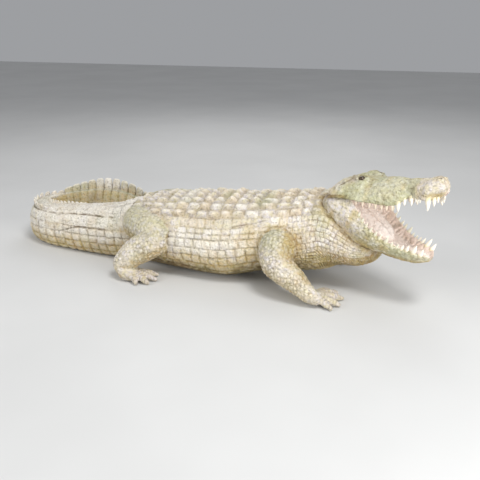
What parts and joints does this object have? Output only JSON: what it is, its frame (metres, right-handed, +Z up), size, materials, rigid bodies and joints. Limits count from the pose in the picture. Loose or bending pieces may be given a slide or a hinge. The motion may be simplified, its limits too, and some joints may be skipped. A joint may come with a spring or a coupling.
{
  "type": "crocodile statue",
  "caption": "Painted bronze crocodile figure, lying on its belly with raised chest, wide open toothed mouth and tail curled round behind.",
  "frame": {"origin": "on the ground, under the middle of the statue's bounding box", "axes": "+X runs along the trunk towards the head, +Y is the animal's left, +Z is up"},
  "size_m": [0.708, 0.2535, 0.186],
  "materials": {
    "painted_bronze": "weathered paint over cast bronze, pale olive and cream with brown in the grooves"
  },
  "bodies": {
    "root": {"crocodile": "painted_bronze"}
  },
  "joints": []
}
